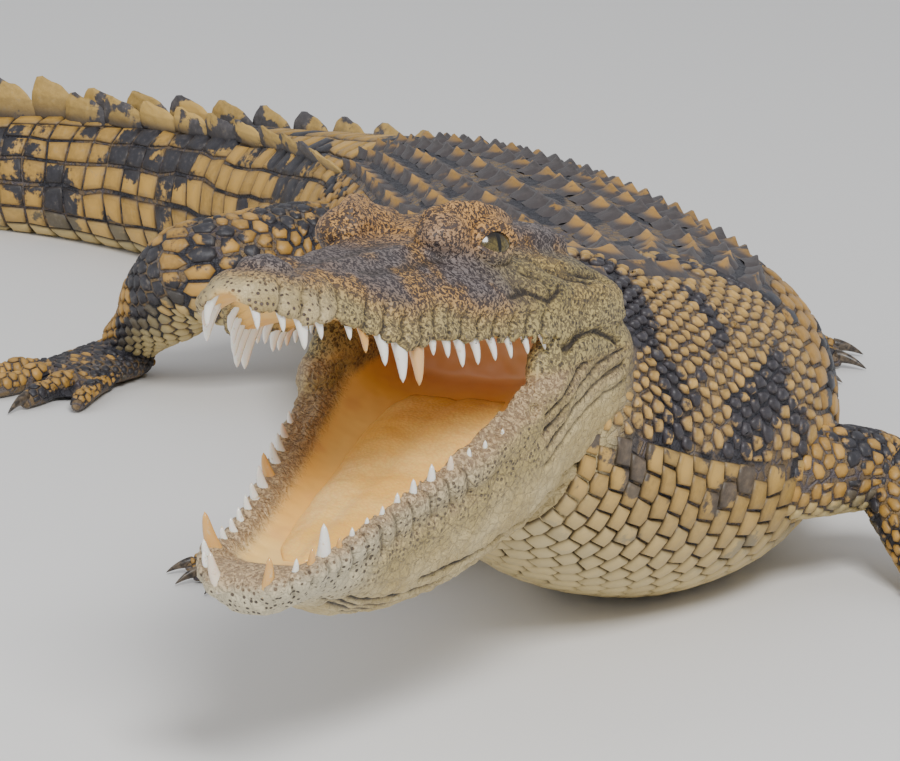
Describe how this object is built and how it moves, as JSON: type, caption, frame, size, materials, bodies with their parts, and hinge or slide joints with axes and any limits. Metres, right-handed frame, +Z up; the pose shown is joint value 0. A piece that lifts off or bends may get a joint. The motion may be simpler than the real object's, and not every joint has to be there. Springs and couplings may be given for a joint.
{
  "type": "saltwater crocodile model",
  "caption": "Still life-size model of a young adult saltwater crocodile that lies on its belly with its head raised, mouth wide open and tail curved to one side.",
  "frame": {"origin": "on the floor under the middle of the animal's bounding box", "axes": "+Z up, the snout points along -Y, the trunk curves away behind it and the tail runs off along -X"},
  "size_m": [1.4832, 1.1172, 0.2756],
  "materials": {
    "hide": "ochre and tan scales with blackish blotches and flecks, dry and slightly glossy",
    "belly_hide": "cream and pale yellow smooth scales of the lower jaw and throat",
    "mouth_lining": "moist yellow-orange skin of the tongue and mouth",
    "claw_horn": "dark horn, slightly glossy",
    "eye_surface": "wet, olive-gold iris with a slit pupil"
  },
  "bodies": {
    "root": {"claw_foot_left_1": "claw_horn", "claw_foot_left_2": "claw_horn", "claw_foot_left_3": "claw_horn", "claw_foot_right_1": "claw_horn", "claw_foot_right_2": "claw_horn", "claw_foot_right_3": "claw_horn", "claw_hand_left_1": "claw_horn", "claw_hand_left_2": "claw_horn", "claw_hand_left_3": "claw_horn", "claw_hand_right_1": "claw_horn", "claw_hand_right_2": "claw_horn", "claw_hand_right_3": "claw_horn", "eye_left": "eye_surface", "eye_right": "eye_surface", "foot_left": "hide", "foot_right": "hide", "forearm_left": "hide", "forearm_right": "hide", "hand_left": "hide", "hand_right": "hide", "head": "hide", "lower_jaw": "belly_hide", "neck": "hide", "shank_left": "hide", "shank_right": "hide", "tail_base": "hide", "tail_middle": "hide", "tail_rear": "hide", "tail_tip": "hide", "thigh_left": "hide", "thigh_right": "hide", "tongue": "mouth_lining", "trunk_front": "hide", "trunk_middle": "hide", "trunk_rear": "hide", "upper_arm_left": "hide", "upper_arm_right": "hide"}
  },
  "joints": []
}
